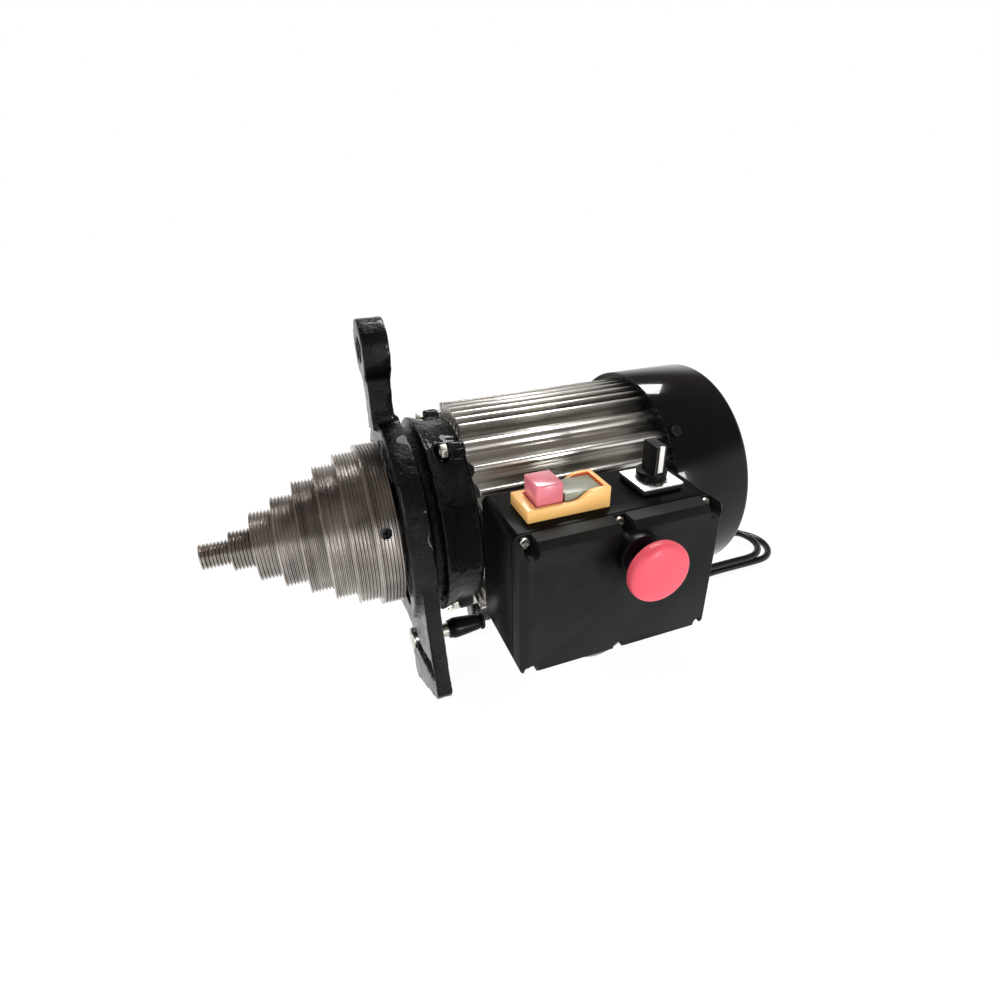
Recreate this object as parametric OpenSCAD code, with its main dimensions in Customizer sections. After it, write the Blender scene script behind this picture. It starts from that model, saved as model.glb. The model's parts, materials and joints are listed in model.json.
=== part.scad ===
// Drive motor unit with an eight-step poly-V cone pulley, a pivoting cast bracket
// and a side-mounted switch box.  Millimetres, +Z up, +X along the shaft towards the fan.
// The origin is the centre of the pivot eye; the unit hangs there on the machine's pin.

/* [Pivot bracket] */
// Drop from the pivot eye to the shaft
shaft_drop = 124.5; // [120:0.5:160]
// Sideways offset of the shaft from the pivot eye
shaft_offset = 16; // [0:1:30]
// Outside radius of the pivot eye
eye_r = 21; // [17:1:26]
// Length of the pivot eye along its bore
eye_w = 19; // [14:1:28]
// Radius of the pivot bore
eye_bore_r = 6; // [4:0.5:10]
// Thickness of the bracket plate and leg
plate_t = 12; // [8:1:16]
// Radius of the bracket ring around the shaft
ring_r = 75.5; // [72:0.5:82]
// Depth of the belt tension slot below the shaft, on a radius from the pivot eye
slot_below_shaft = 104; // [100:1:120]
// Width of the belt tension slot
slot_w = 13; // [11:0.5:16]
// Reach of the leg below the shaft
leg_drop = 152; // [146:1:175]

/* [Cone pulley] */
// Width of one pulley step
step_w = 15.5; // [15:0.5:24]
// Width of the smallest step at the tip
tip_w = 20; // [19:0.5:28]
// Pitch of the belt ribs
rib_pitch = 2.34; // [1.6:0.02:2.4]
// Depth of the rib grooves
rib_depth = 1.9; // [1.2:0.1:2.2]
// Gap between the largest step and the bracket plate
pulley_gap = 7; // [6:0.5:14]

/* [Shaft and bearings] */
// Radius of the shaft in the pulley
shaft_r = 9.5; // [8:0.5:11]
// Outside radius of the bearings
bearing_r = 23.5; // [21:0.5:28]
// Width of the bearings
bearing_w = 14; // [11:0.5:18]

/* [Motor] */
// Length of the finned housing
housing_l = 147; // [130:1:190]
// Radius over the cooling fins
fin_r = 81; // [78:0.5:83]
// Depth of the cooling fins
fin_depth = 11; // [8:0.5:12]
// Wall of the housing at the fin roots
housing_wall = 4.5; // [3:0.5:6]
// Length of the laminated stator stack
stack_l = 85; // [60:1:95]
// Radius of the rotor
rotor_r = 38; // [30:1:42]
// Air gap between the rotor and the stator
air_gap = 0.5; // [0.4:0.1:1]
// Depth of the drive end shield
shield_l = 34; // [30:1:44]
// Outside radius of the fan cowl
cowl_r = 86; // [84:0.5:96]
// Length of the fan cowl
cowl_l = 62.5; // [54:0.5:80]
// Sheet thickness of the fan cowl
cowl_t = 1.5; // [1:0.1:3]

/* [Switch box] */
// Width of the switch box along the shaft
box_w = 130; // [124:1:160]
// Height of the switch box
box_h = 92; // [90:1:130]
// Depth of the box body
box_d = 49; // [46:1:80]
// Depth of the lid
lid_d = 15; // [12:1:22]
// Wall of the box and the lid
box_wall = 3; // [2:0.25:4]
// Height of the box centre above the shaft
box_rise = 8.5; // [0:0.5:14]
// Radius of the emergency stop mushroom
estop_r = 18.5; // [15:0.5:24]
// Travel of the emergency stop
estop_travel = 5; // [3:0.5:7]
// Travel of the start and stop buttons
button_travel = 2.5; // [1.5:0.25:3]
// Side of the selector plate
selector_side = 28.5; // [24:0.5:34]

/* [Clamp] */
// Radius of the clamp stud
stud_r = 5.8; // [4.5:0.1:5.9]
// Length of the clamp grip
grip_l = 31; // [24:1:42]

/* [Mains lead] */
// Diameter of the mains lead
cord_d = 7; // [5:0.5:9]

/* [Hidden] */

gap = 0.3;                 // between pieces that move past each other
fit = 0.02;                // radial clearance of a running or pressed round fit
eps = 0.01;                // overshoot of a cut through a face

// Shaft line
slot_arc_r = shaft_drop + slot_below_shaft;
shaft_y = -shaft_offset;
shaft_z = -shaft_drop;

// Cone pulley, smallest step first
step_r = [9, 14, 24.5, 32.5, 41, 49, 55.5, 60];
steps = len(step_r);
pulley_x1 = -pulley_gap;
pulley_x0 = pulley_x1 - tip_w - (steps - 1) * step_w;
pulley_hub_r = 28;
pulley_hub_l = 4.5;
pulley_bore_l = 5.5 * step_w;
rib_land = 0.45;           // flat on the crest of a rib
rib_root = 0.5;            // flat at the root of a groove
screw_turn = 22;           // angle of the set screw above the near side at rest
set_screw_r = 4;
set_screw_l = 44;
set_screw_x = pulley_x1 - 0.55 * step_w;

// Bracket plate, end shields, housing and cowl along the shaft
plate_x0 = 0;
arm_x0 = -eye_w / 2 + 1.5;
arm_x1 = eye_w / 2 - 0.5;
arm_root_r = 70;           // clears a belt on the largest pulley step
boss_x0 = pulley_x1 + 2;   // the ring stands forward almost to the pulley
shield_x0 = plate_x0 + plate_t;
shield_x1 = shield_x0 + shield_l;
shield_neck = 6.5;
housing_x1 = shield_x1 + housing_l;
cowl_x0 = housing_x1 - 2;
cowl_x1 = cowl_x0 + cowl_l;
cowl_edge = 4;
spigot_l = 6;
core_r = fin_r - fin_depth;
bore_r = core_r - housing_wall;
spigot_r = bore_r - 0.1;
lug_pitch_r = fin_r - 9;   // radius of the tie bolt circle
lug_r = 6.5;
lug_turn = 28;             // tie bolts from the vertical
lug_angles = [90 - lug_turn, 90 + lug_turn, -90 - lug_turn, -90 + lug_turn];
tie_r = 3;
bracket_bolt_pitch_r = 57;
bracket_bolt_r = 4;
seal_r = 19;
seal_w = 7;

// Rotor and stator
stack_x0 = shield_x1 + (housing_l - stack_l) / 2;
stack_x1 = stack_x0 + stack_l;
stator_bore_r = rotor_r + air_gap;
cage_ring = 9;
shaft_core_r = 13;
seat_r = 10;
front_bearing_x0 = shield_x0 + 12;
rear_plate_t = 8;
rear_bearing_x0 = housing_x1 - bearing_w - 2;
shaft_x1 = housing_x1 + 34;
fan_x0 = housing_x1 + 14;
fan_r = 70;
fan_hub_r = 15;
fan_t = 3;
fan_depth = 22;

// Switch box: front and back along Y, sides along X
seat_w = 40;
seat_rise = 7;             // the box seat stands this far beyond the fins
box_back = shaft_y - fin_r - seat_rise;
box_front = box_back - box_d;
lid_front = box_front - lid_d;
box_xc = shield_x1 + 59;
box_x0 = box_xc - box_w / 2;
box_x1 = box_x0 + box_w;
box_zc = shaft_z + box_rise;
box_z0 = box_zc - box_h / 2;
box_z1 = box_zc + box_h / 2;
box_edge = 5;
lid_screw_r = 2;
lid_screw_inset_x = 6.5;
lid_screw_inset_z = 4.6;
lid_pocket_r = 4.3;
lid_pocket_floor = 1.5;    // ahead of the lid joint
lid_bevel = 4;

// Start and stop switch on top of the box
nvr_x0 = box_x0 + 12.8;
nvr_w = 52;
nvr_y0 = lid_front + 22.5;
nvr_d = 26;
nvr_low = 8;
nvr_high = 13.5;
nvr_wall = 3;
nvr_ledge = 6.5;
stop_top = 20;
start_top = 12;
nvr_split = 24;
nvr_rise_x = 29;
nvr_rise_w = 13;
button_gap = 0.5;

// Selector on top of the box
selector_x = box_x1 - 27;
selector_y = lid_front + 39.5;
selector_rest = -90;       // heading of the pointer at rest, from +X
selector_gasket_t = 3;
selector_plate_t = 1.5;
selector_hub_r = 9.5;

// Emergency stop on the lid
estop_x = box_x0 + 71;
estop_z = box_z1 - 18.8;
estop_hole_r = 8;
estop_collar_r = 13.5;
estop_nut_r = 10;
estop_stem_r = 5.5;
estop_pin_r = 3.2;
estop_neck = 14;
estop_head = 11;

// Belt tension clamp
clamp_turn = 9;            // stud heading behind the plumb line at rest
clamp_y = -slot_arc_r * sin(clamp_turn);
clamp_z = -slot_arc_r * cos(clamp_turn);
grip_r = 8.5;
grip_x0 = plate_t + 16;
stud_head_t = 2.5;
slot_back_turn = -2;
slot_front_turn = 24.5;

// Mains lead
bench_z = shaft_z - leg_drop;
cord_r = cord_d / 2;
cord_z = bench_z + cord_r;
gland_x = box_x0 + 38;
gland_y = box_front + 20;
gland_r = 9.5;
gland_l = 13;
relief_r = 6.5;
cord_sides = 10;
relief_route = [for (p = [[0, 0, 0], [0.5, 0.5, -6.5], [2.5, 2.5, -13.5], [6.5, 6, -20], [12, 11, -25.5]])
    [gland_x + p[0], gland_y + p[1], box_z0 - gland_l + p[2]]];
relief_end = relief_route[4];
// Sideways steps of the hanging lead and the share of its drop to the bench
hang = [[0, 0, 0], [12, 10, 0.15], [25, 21, 0.33], [38, 31, 0.52], [52, 42, 0.7], [67, 53, 0.85],
    [84, 64, 0.955], [102, 75, 1], [122, 86, 1]];
loop_r = 29;               // bend of the loops on the bench
loop_y = 28;
loop_x = [388, 310, 372];  // centres of the turns: far end, near end, far end again
lift = cord_d + 0.3;       // a strand that lies on another one

// Half a turn of the lead about a loop centre, rising from one height to another
function half_turn(x, a0, z0, z1) = [for (i = [0:8])
    [x + loop_r * cos(a0 + 22.5 * i), loop_y + loop_r * sin(a0 + 22.5 * i),
     cord_z + z0 + (z1 - z0) * i / 8]];

cord_route = concat(
    [for (p = hang) [relief_end[0] + p[0], relief_end[1] + p[1],
        relief_end[2] + p[2] * (cord_z - relief_end[2])]],
    [[234, -26, cord_z], [257, -16, cord_z], [281, -8, cord_z], [306, -3, cord_z],
     [331, -1, cord_z], [358, -1, cord_z]],
    half_turn(loop_x[0], -90, 0, 0),
    [[370, 57, cord_z], [352, 57, cord_z + 0.2], [340, 57, cord_z + 0.22 * lift],
     [328, 57, cord_z + 0.6 * lift], [318, 57, cord_z + 0.9 * lift]],
    half_turn(loop_x[1], 90, lift, lift),
    [[325, -1, cord_z + lift], [341, -1, cord_z + lift], [357, -1, cord_z + lift]],
    half_turn(loop_x[2], -90, lift, lift),
    [[356, 56.2, cord_z + lift], [342, 54.4, cord_z + 1.1 * lift],
     [328, 52.4, cord_z + 1.45 * lift], [312, 50, cord_z + 1.9 * lift],
     [296, 47.5, cord_z + 2 * lift], [280, 45, cord_z + 1.95 * lift],
     [264, 42.5, cord_z + 1.5 * lift], [248, 40, cord_z + 0.8 * lift],
     [232, 37.7, cord_z + 0.25 * lift], [214, 35, cord_z], [193, 32.5, cord_z],
     [172, 31.5, cord_z]]);
tail_z = bench_z + cord_d * 1.5;
tail_route = [[150, 24.5, tail_z], [138, 24.5, tail_z + 0.3], [121, 24.5, tail_z + 2],
    [104, 24.5, tail_z + 3.5]];
coil_x = 150;
coil_y = 75;
coil_r = 40;               // middle of the turns
coil_turns_wide = 2;
coil_layers = 2;
plug_x = 104;
plug_r = 14;
plug_l = 40;
pin_gap = 19;

module on_shaft(x = 0) {
    translate([x, shaft_y, shaft_z]) children();
}

module rod_x(x0, x1, r) {
    translate([x0, 0, 0]) rotate([0, 90, 0]) cylinder(h = x1 - x0, r = r, $fn = 96);
}

module cone_x(x0, x1, r0, r1) {
    translate([x0, 0, 0]) rotate([0, 90, 0]) cylinder(h = x1 - x0, r1 = r0, r2 = r1, $fn = 96);
}

module ring_x(x0, x1, r, hole_r) {
    difference() {
        rod_x(x0, x1, r);
        rod_x(x0 - 1, x1 + 1, hole_r);
    }
}

module rod_y(y0, y1, r) {
    translate([0, y0, 0]) rotate([-90, 0, 0]) cylinder(h = y1 - y0, r = r, $fn = 64);
}

// A drawing in the plane across the shaft, its x along Y and its y along Z
module extrude_x(x0, x1) {
    translate([x0, 0, 0]) rotate([90, 0, 90]) linear_extrude(height = x1 - x0) children();
}

// A drawing of radius and distance along the shaft, turned about the shaft
module lathe_x() {
    rotate([0, 90, 0]) rotate_extrude($fn = 128) children();
}

module at_angle(a, r) {
    translate([0, r * cos(a), r * sin(a)]) children();
}

module round_rect(w, h, r) {
    union() {
        square([w - 2 * r, h], center = true);
        square([w, h - 2 * r], center = true);
        for (x = [-1, 1], y = [-1, 1])
            translate([x * (w / 2 - r), y * (h / 2 - r)]) circle(r = r, $fn = 32);
    }
}

// A block with rounded edges along Y, seen from the front of the box
module box_block(w, h, y0, y1, r) {
    translate([0, y1, 0]) rotate([90, 0, 0]) linear_extrude(height = y1 - y0) round_rect(w, h, r);
}

module hex_socket(depth, across) {
    cylinder(h = depth, r = across / sqrt(3), $fn = 6);
}

// Cap screw along -Z below a head that stands on z = 0
module cap_screw(r, length) {
    difference() {
        union() {
            cylinder(h = 2 * r, r = 1.75 * r, $fn = 32);
            translate([0, 0, -length]) cylinder(h = length + eps, r = r, $fn = 32);
        }
        translate([0, 0, r]) hex_socket(r + 1, 1.6 * r);
    }
}

// ---- cone pulley ----

function step_start(i) = i == 0 ? pulley_x0 : pulley_x0 + tip_w + (i - 1) * step_w;
function step_width(i) = i == 0 ? tip_w : step_w;
function ribs(i) = floor((step_width(i) - 1) / rib_pitch);
function rib_centre(i, k) =
    step_start(i) + (step_width(i) - ribs(i) * rib_pitch) / 2 + (k + 0.5) * rib_pitch;
function rib_groove(r, x) = [
    [r, x - (rib_pitch - rib_land) / 2],
    [r - rib_depth, x - rib_root / 2],
    [r - rib_depth, x + rib_root / 2],
    [r, x + (rib_pitch - rib_land) / 2]];
function step_outline(i) = concat(
    [[step_r[i], step_start(i)]],
    [for (k = [0:ribs(i) - 1]) each rib_groove(step_r[i], rib_centre(i, k))],
    [[step_r[i], step_start(i) + step_width(i)]]);
function pulley_outline() = concat(
    [[0, pulley_x0]],
    [for (i = [0:steps - 1]) each step_outline(i)],
    [[pulley_hub_r, pulley_x1], [pulley_hub_r, pulley_x1 + pulley_hub_l],
     [0, pulley_x1 + pulley_hub_l]]);

module cone_pulley() {
    color("silver") on_shaft() difference() {
        lathe_x() polygon(pulley_outline());
        rod_x(pulley_x1 - pulley_bore_l, pulley_x1 + pulley_hub_l + 1, shaft_r + fit);
        translate([pulley_x1 - pulley_bore_l, -3, 0]) cube([pulley_bore_l + 10, 6, shaft_r + 3]);
        cone_x(pulley_x0 - eps, pulley_x0 + 4, 3.5, 1);
        set_screw_places() rod_y(-100, 0, set_screw_r);
    }
}

// The set screws point at the shaft from the near side and from below the key
module set_screw_places() {
    for (turn = [-screw_turn, 120 - screw_turn])
        translate([set_screw_x, 0, 0]) rotate([turn, 0, 0]) children();
}

module pulley_set_screws() {
    color("dimgray") on_shaft() set_screw_places() difference() {
        rod_y(-shaft_r - set_screw_l, -shaft_r - fit, set_screw_r - fit);
        translate([0, -shaft_r - set_screw_l - eps, 0]) rotate([-90, 0, 0])
            hex_socket(set_screw_r, set_screw_r);
    }
}

// ---- rotor ----

module motor_shaft() {
    color("gainsboro") on_shaft() difference() {
        union() {
            rod_x(pulley_x1 - pulley_bore_l + 1, front_bearing_x0 - 4 + eps, shaft_r);
            rod_x(front_bearing_x0 - 4, front_bearing_x0 + bearing_w + eps, seat_r);
            rod_x(front_bearing_x0 + bearing_w, rear_bearing_x0, shaft_core_r);
            rod_x(rear_bearing_x0 - eps, rear_bearing_x0 + bearing_w + 2, seat_r);
            rod_x(rear_bearing_x0 + bearing_w + 2 - eps, shaft_x1, shaft_r - 1.5);
        }
        translate([pulley_x1 - 60, -3, shaft_r - 3.5]) cube([56, 6, 8]);
    }
}

module shaft_key() {
    color("darkgray") on_shaft()
        translate([pulley_x1 - 60 + fit, -3 + fit, shaft_r - 3.5])
            cube([56 - 2 * fit, 6 - 2 * fit, 6]);
}

module rotor_core() {
    color("gray") on_shaft() ring_x(stack_x0, stack_x1, rotor_r, shaft_core_r + fit);
}

module rotor_cage() {
    color("lightgray") on_shaft() {
        for (x = [stack_x0 - cage_ring, stack_x1])
            ring_x(x, x + cage_ring, rotor_r - 2, rotor_r - 13);
        for (a = [0:45:315], x = [stack_x0 - cage_ring - 4, stack_x1 + cage_ring - eps])
            rotate([a, 0, 0]) translate([x, rotor_r - 11, -1.5]) cube([4 + eps, 7, 3]);
    }
}

module cooling_fan() {
    color("black") on_shaft() {
        difference() {
            union() {
                rod_x(fan_x0, fan_x0 + fan_t, fan_r - 6);
                rod_x(fan_x0, fan_x0 + 16, fan_hub_r);
                for (a = [0:30:330]) rotate([a, 0, 0])
                    translate([fan_x0 + fan_t - eps, fan_hub_r + 4, -1])
                        cube([fan_depth - fan_t, fan_r - fan_hub_r - 4, 2]);
            }
            rod_x(fan_x0 - 1, fan_x0 + 20, shaft_r - 1.5 + fit);
        }
    }
}

// A sealed ball bearing: an outer and an inner race joined by its shields
module bearing(x0) {
    difference() {
        rod_x(x0, x0 + bearing_w, bearing_r - fit);
        rod_x(x0 - 1, x0 + bearing_w + 1, seat_r + fit);
        for (x = [x0 - eps, x0 + bearing_w - 0.8])
            ring_x(x, x + 0.8 + eps, bearing_r - 3.5, seat_r + 3);
    }
}

module front_bearing() {
    color("silver") on_shaft() bearing(front_bearing_x0);
}

module rear_bearing() {
    color("silver") on_shaft() bearing(rear_bearing_x0);
}

module shaft_seal() {
    color("saddlebrown") on_shaft()
        ring_x(shield_x0 + 1, shield_x0 + 1 + seal_w, seal_r - fit, shaft_r + 0.1);
}

module wave_washer() {
    color("silver") on_shaft()
        ring_x(rear_bearing_x0 + bearing_w + 0.1, rear_bearing_x0 + bearing_w + 0.9,
            bearing_r - 1, bearing_r - 6);
}

// ---- cast parts ----

// Arm that tapers from the ring up to the pivot eye
module arm_drawing() {
    polygon([
        [shaft_y + 38, shaft_z + 62], [shaft_y - 34, shaft_z + 64],
        [-11, -58], [-12, -16], [12, -16], [14, -58]]);
}

// Leg below the ring, cut square to the swing of the slot
module leg_drawing() {
    polygon([
        [shaft_y - 74, shaft_z - 10], [shaft_y - 79, shaft_z - 52],
        [shaft_y - 92, shaft_z - 0.64 * leg_drop], [shaft_y - 88, shaft_z - 0.68 * leg_drop],
        [shaft_y - 12, shaft_z - leg_drop], [shaft_y - 6, shaft_z - leg_drop + 2],
        [shaft_y + 6, shaft_z - 112], [shaft_y + 30, shaft_z - 62]]);
}

// Slot about the pivot eye, open at the leg's back edge
module slot_drawing(half_w) {
    difference() {
        circle(r = slot_arc_r + half_w, $fn = 192);
        circle(r = slot_arc_r - half_w, $fn = 192);
        rotate(-90 - slot_front_turn) translate([-400, -800]) square([800, 800]);
        rotate(-90 - slot_back_turn) translate([-400, 0]) square([800, 800]);
        translate([-400, -50]) square([800, 600]);
    }
    rotate(-90 - slot_front_turn) translate([slot_arc_r, 0]) circle(r = half_w, $fn = 48);
}

module mounting_bracket() {
    color("black") difference() {
        union() {
            extrude_x(plate_x0, plate_x0 + plate_t) {
                translate([shaft_y, shaft_z]) circle(r = ring_r, $fn = 128);
                intersection() {
                    arm_drawing();
                    translate([shaft_y, shaft_z]) circle(r = ring_r + 3, $fn = 128);
                }
                leg_drawing();
            }
            on_shaft() rod_x(boss_x0, plate_x0 + 1, ring_r - 0.5);
            extrude_x(arm_x0, arm_x1) difference() {
                arm_drawing();
                translate([shaft_y, shaft_z]) circle(r = arm_root_r, $fn = 128);
            }
            rod_x(-eye_w / 2, eye_w / 2, eye_r);
        }
        rod_x(-eye_w, eye_w, eye_bore_r + 2);
        on_shaft() rod_x(boss_x0 - 1, plate_x0 + plate_t + 1, pulley_hub_r + 6);
        extrude_x(plate_x0 - 1, plate_x0 + plate_t + 1) slot_drawing(slot_w / 2);
        on_shaft() for (a = [45:90:315]) at_angle(a, bracket_bolt_pitch_r) {
            rod_x(plate_x0 - 1, plate_x0 + plate_t + 1, bracket_bolt_r + 0.3);
            rod_x(boss_x0 - 1, plate_x0 + 7, 1.75 * bracket_bolt_r + 0.5);
        }
    }
}

module pivot_bush() {
    color("peru") ring_x(-eye_w / 2, eye_w / 2, eye_bore_r + 2 - fit, eye_bore_r);
}

module bracket_screws() {
    color("dimgray") on_shaft() for (a = [45:90:315]) at_angle(a, bracket_bolt_pitch_r)
        translate([plate_x0 + 7, 0, 0]) rotate([0, -90, 0]) cap_screw(bracket_bolt_r, 18);
}

module tie_lugs(x0, x1, r) {
    for (a = lug_angles) hull() {
        at_angle(a, lug_pitch_r) translate([x0, 0, 0]) rotate([0, 90, 0])
            cylinder(h = x1 - x0, r = r, $fn = 32);
        at_angle(a, lug_pitch_r - 14) translate([x0, 0, 0]) rotate([0, 90, 0])
            cylinder(h = x1 - x0, r = r + 3, $fn = 32);
    }
}

module drive_end_shield() {
    color("black") on_shaft() difference() {
        union() {
            rod_x(shield_x0, shield_x0 + shield_neck + eps, ring_r - 8);
            cone_x(shield_x0 + shield_neck, shield_x1 - 12, ring_r - 0.5, fin_r - 10.5);
            rod_x(shield_x1 - 12 - eps, shield_x1, fin_r - 10.5);
            tie_lugs(shield_x1 - 12, shield_x1, lug_r);
            rod_x(shield_x1 - eps, shield_x1 + spigot_l, spigot_r);
        }
        rod_x(shield_x0 + 30, shield_x1 + spigot_l + 1, spigot_r - 6);
        rod_x(front_bearing_x0, shield_x1 + 2, bearing_r);
        rod_x(shield_x0 - 1, shield_x0 + 1 + seal_w, seal_r);
        rod_x(shield_x0 - 1, front_bearing_x0 + 1, seat_r + 2);
        for (a = lug_angles) at_angle(a, lug_pitch_r)
            rod_x(shield_x0 + 15, shield_x1 + 1, tie_r + 0.3);
        for (a = lug_angles) at_angle(a, lug_pitch_r)
            rod_x(shield_x0 + 15, shield_x1 - 12, 7);
        for (a = [45:90:315]) at_angle(a, bracket_bolt_pitch_r)
            rod_x(shield_x0 - 1, shield_x0 + 16, bracket_bolt_r + fit);
    }
}

// ---- motor ----

// One straight fin that stands out of the housing at an angle
module fin(a, w) {
    rotate(a) translate([core_r - 3, -w / 2]) square([fin_depth + 3, w]);
}

// A wide fin with one sloping flank, as on the near and far sides of the extrusion
module stair_fin(a, side) {
    outline = [[core_r - 3, -11], [fin_r - 0.5, -1.5], [fin_r, 0],
        [fin_r - 1, 2], [core_r - 3, 2.5]];
    rotate(a) polygon(side > 0 ? outline :
        [for (i = [len(outline) - 1:-1:0]) [outline[i][0], -outline[i][1]]]);
}

module housing_drawing() {
    difference() {
        union() {
            circle(r = core_r, $fn = 192);
            for (a = lug_angles) rotate(a) translate([lug_pitch_r - 1, 0])
                circle(r = lug_r - 1, $fn = 48);
            for (a = lug_angles) rotate(a) translate([core_r - 2, -5]) square([6, 10]);
        }
        circle(r = bore_r, $fn = 192);
        for (a = lug_angles) rotate(a) translate([lug_pitch_r, 0])
            circle(r = tie_r + 0.3, $fn = 32);
    }
}

// Flat seat on the housing that the switch box is screwed to
module box_seat_drawing() {
    difference() {
        translate([box_back - shaft_y, box_rise - seat_w / 2])
            square([seat_rise + fin_depth + 10, seat_w]);
        circle(r = core_r - 1, $fn = 192);
    }
}

module fin_drawing() {
    difference() {
        union() {
            for (a = [72:6:108], s = [1, -1]) fin(s * a, 2.4);
            for (a = [134, 146, 158], s = [1, -1]) {
                stair_fin(s * a, s);
                stair_fin(180 - s * a, -s);
            }
        }
        circle(r = core_r, $fn = 192);
        translate([box_back - shaft_y - 1, box_rise - seat_w / 2 - 0.1])
            square([seat_rise + fin_depth + 12, seat_w + 0.2]);
    }
}

module cooling_fins() {
    color("lightgray") on_shaft() extrude_x(shield_x1, housing_x1) fin_drawing();
}

module motor_housing() {
    color("lightgray") on_shaft() difference() {
        union() {
            extrude_x(shield_x1, housing_x1) housing_drawing();
            extrude_x(shield_x1, min(box_x1, cowl_x0 - 1)) box_seat_drawing();
        }
        translate([box_xc - 20, box_back - shaft_y - 1, box_rise]) rod_y(0, 32, 7);
        for (x = [-40, 40], z = [-12, 12])
            translate([box_xc + x, box_back - shaft_y - 1, box_rise + z]) rod_y(0, 12, 2.4);
    }
}

module stator_core() {
    color("slategray") on_shaft() ring_x(stack_x0, stack_x1, bore_r - fit, stator_bore_r);
}

// End turns: a rounded ring of copper at each end of the stack
module stator_windings() {
    width = bore_r - stator_bore_r - 6;
    color("chocolate") on_shaft() for (x = [stack_x0 - 10, stack_x1 + 10])
        translate([x, 0, 0]) rotate([0, 90, 0]) rotate_extrude($fn = 96)
            translate([(bore_r + stator_bore_r) / 2, 0])
                round_rect(width, 20, min(6, width / 2 - 0.5));
}

module rear_end_shield() {
    color("black") on_shaft() difference() {
        union() {
            rod_x(housing_x1, housing_x1 + rear_plate_t, cowl_r - cowl_t - 0.2);
            rod_x(housing_x1 - spigot_l, housing_x1 + eps, spigot_r);
            rod_x(rear_bearing_x0 - 1, housing_x1 + eps, bearing_r + 7);
        }
        difference() {
            rod_x(housing_x1 - spigot_l - 1, housing_x1 - 1, spigot_r - 6);
            rod_x(rear_bearing_x0 - 1, housing_x1 + eps, bearing_r + 7);
        }
        rod_x(rear_bearing_x0 - 2, rear_bearing_x0 + bearing_w + 1, bearing_r);
        rod_x(housing_x1 - 5, housing_x1 + 20, shaft_r + 1);
        for (a = lug_angles) at_angle(a, lug_pitch_r)
            rod_x(housing_x1 - 1, housing_x1 + 20, tie_r + fit);
        for (a = [45:90:315]) rotate([a, 0, 0])
            translate([housing_x1 + rear_plate_t / 2, 0, 0]) rod_y(cowl_r - 12, cowl_r + 1, 2 + fit);
    }
}

module tie_bolts() {
    color("darkgray") on_shaft() for (a = lug_angles) at_angle(a, lug_pitch_r) {
        difference() {
            translate([shield_x1 - 12 - 4.5, 0, 0]) rotate([0, 90, 0])
                cylinder(h = 4.5, r = 5.2, $fn = 6);
            rod_x(shield_x1 - 17, shield_x1 - 14, 2.4);
        }
        rod_x(shield_x1 - 12 - eps, housing_x1 + rear_plate_t, tie_r);
    }
}

// Rounded rear corner of the cowl, as points of radius and distance along the shaft
function cowl_corner(r) = [for (a = [0:15:90])
    [cowl_r - cowl_edge + r * cos(a), cowl_x1 - cowl_edge + r * sin(a)]];

// Cowl turned from sheet, with a rounded rear edge and a grille of slots
module fan_cowl() {
    inner = cowl_corner(cowl_edge - cowl_t);
    color("black") on_shaft() difference() {
        lathe_x() polygon(concat(
            [[cowl_r - cowl_t, cowl_x0], [cowl_r, cowl_x0]],
            cowl_corner(cowl_edge),
            [[0, cowl_x1], [0, cowl_x1 - cowl_t]],
            [for (i = [len(inner) - 1:-1:0]) inner[i]]));
        for (a = [0:15:345]) rotate([a, 0, 0])
            translate([cowl_x1 - 5, 22, -1.8]) cube([10, 18, 3.6]);
        for (a = [7.5:15:352.5]) rotate([a, 0, 0])
            translate([cowl_x1 - 5, 44, -2]) cube([10, 24, 4]);
        for (a = [45:90:315]) rotate([a, 0, 0])
            translate([housing_x1 + rear_plate_t / 2, 0, 0]) rod_y(cowl_r - 4, cowl_r + 1, 2.4);
    }
}

module cowl_screws() {
    color("dimgray") on_shaft() for (a = [45:90:315])
        rotate([a, 0, 0]) translate([housing_x1 + rear_plate_t / 2, 0, 0]) difference() {
            union() {
                rod_y(cowl_r + fit, cowl_r + 2.4, 4);
                rod_y(cowl_r - 9, cowl_r + 0.1, 2);
            }
            translate([-3, cowl_r + 1.4, -0.5]) cube([6, 2, 1]);
            translate([-0.5, cowl_r + 1.4, -3]) cube([1, 2, 6]);
        }
}

// ---- switch box ----

module box_place(y = 0) {
    translate([box_xc, y, box_zc]) children();
}

// The six lid screws, as offsets from the box centre
lid_screw_places = [for (x = [-1, 0, 1], z = [-1, 1])
    [x * (box_w / 2 - lid_screw_inset_x), z * (box_h / 2 - lid_screw_inset_z)]];

module switch_box_base() {
    color("black") difference() {
        union() {
            difference() {
                box_place() box_block(box_w, box_h, box_front, box_back, box_edge);
                box_place() box_block(box_w - 2 * box_wall, box_h - 2 * box_wall,
                    box_front - 1, box_back - box_wall, box_edge - box_wall);
            }
            for (p = lid_screw_places) box_place() translate([p[0], 0, p[1]])
                rod_y(box_front, box_front + 16, 4);
        }
        for (p = lid_screw_places) box_place() translate([p[0], 0, p[1]])
            rod_y(box_front - 1, box_front + 14, lid_screw_r + fit);
        box_place(box_back - box_wall - 1) translate([-20, 0, 0]) rod_y(0, box_wall + 2, 7);
        for (x = [-40, 40], z = [-12, 12])
            box_place(box_back - box_wall - 1) translate([x, 0, z]) rod_y(0, box_wall + 2, 2.6);
        translate([gland_x, gland_y, box_z0 - 1]) cylinder(h = box_wall + 2, r = 6.2, $fn = 48);
        translate([nvr_x0 + 6, nvr_y0 + 4, box_z1 - box_wall - 1])
            cube([nvr_w - 12, nvr_d - 8, box_wall + 2]);
        translate([selector_x, selector_y, box_z1 - box_wall - 1])
            cylinder(h = box_wall + 2, r = 5.5, $fn = 48);
    }
}

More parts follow.
